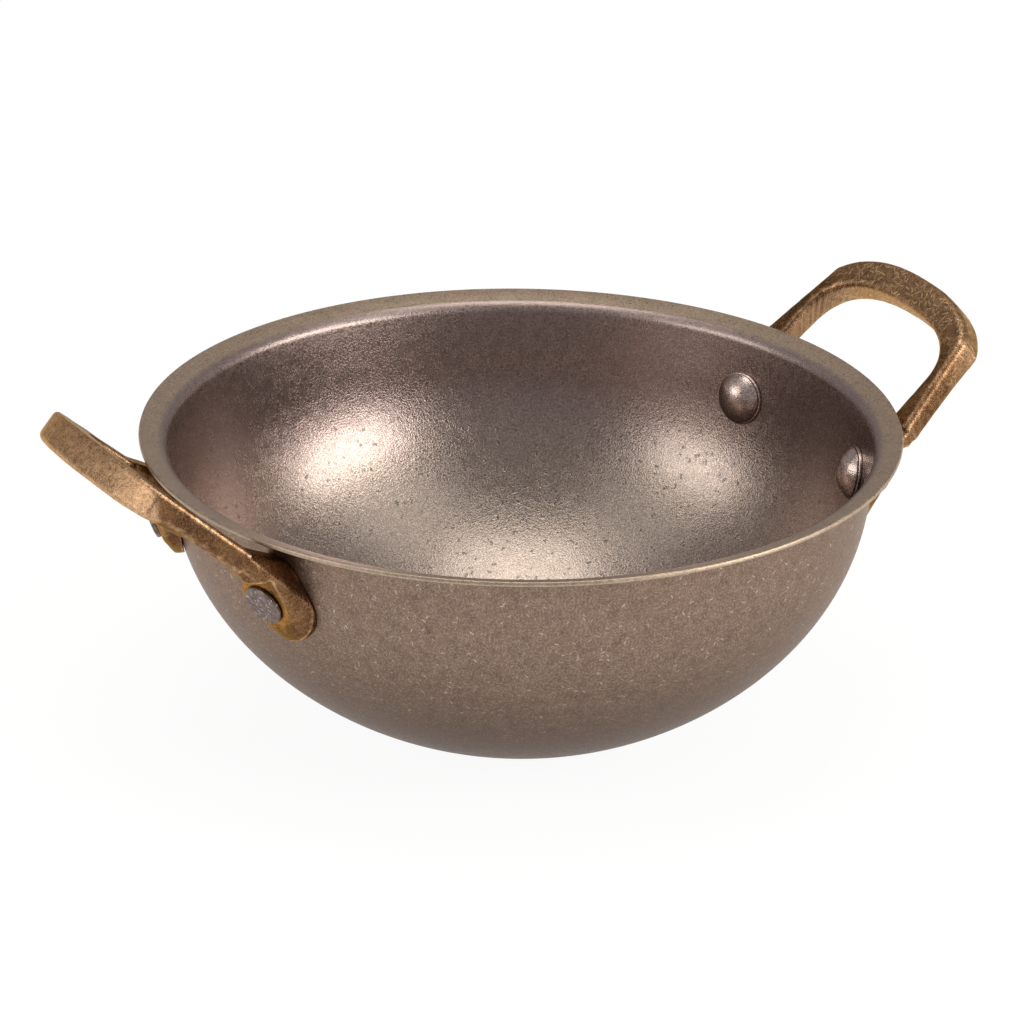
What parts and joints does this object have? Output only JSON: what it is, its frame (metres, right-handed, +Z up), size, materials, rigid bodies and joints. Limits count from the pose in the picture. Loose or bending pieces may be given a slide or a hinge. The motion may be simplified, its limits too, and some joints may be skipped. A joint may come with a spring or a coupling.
{
  "type": "wok",
  "caption": "Small serving wok: a deep spun steel bowl with a flared lip, a flat base and riveted cast brass loop handles on opposite sides.",
  "frame": {"origin": "middle of the flat base, on the surface the pan stands on", "axes": "+Z up along the pan's axis, +X through the middle of the right handle"},
  "size_m": [0.2052, 0.16, 0.08],
  "materials": {
    "pan_steel": "tumbled, brown-grey, satin",
    "handle_brass": "dark patina with worn bright edges",
    "rivet_steel": "dark, worn"
  },
  "bodies": {
    "root": {"pan": "pan_steel", "handle_right": "handle_brass", "handle_left": "handle_brass", "rivet_right_back": "rivet_steel", "rivet_right_front": "rivet_steel", "rivet_left_front": "rivet_steel", "rivet_left_back": "rivet_steel", "washer_right_back": "rivet_steel", "washer_right_front": "rivet_steel", "washer_left_front": "rivet_steel", "washer_left_back": "rivet_steel"}
  },
  "joints": []
}
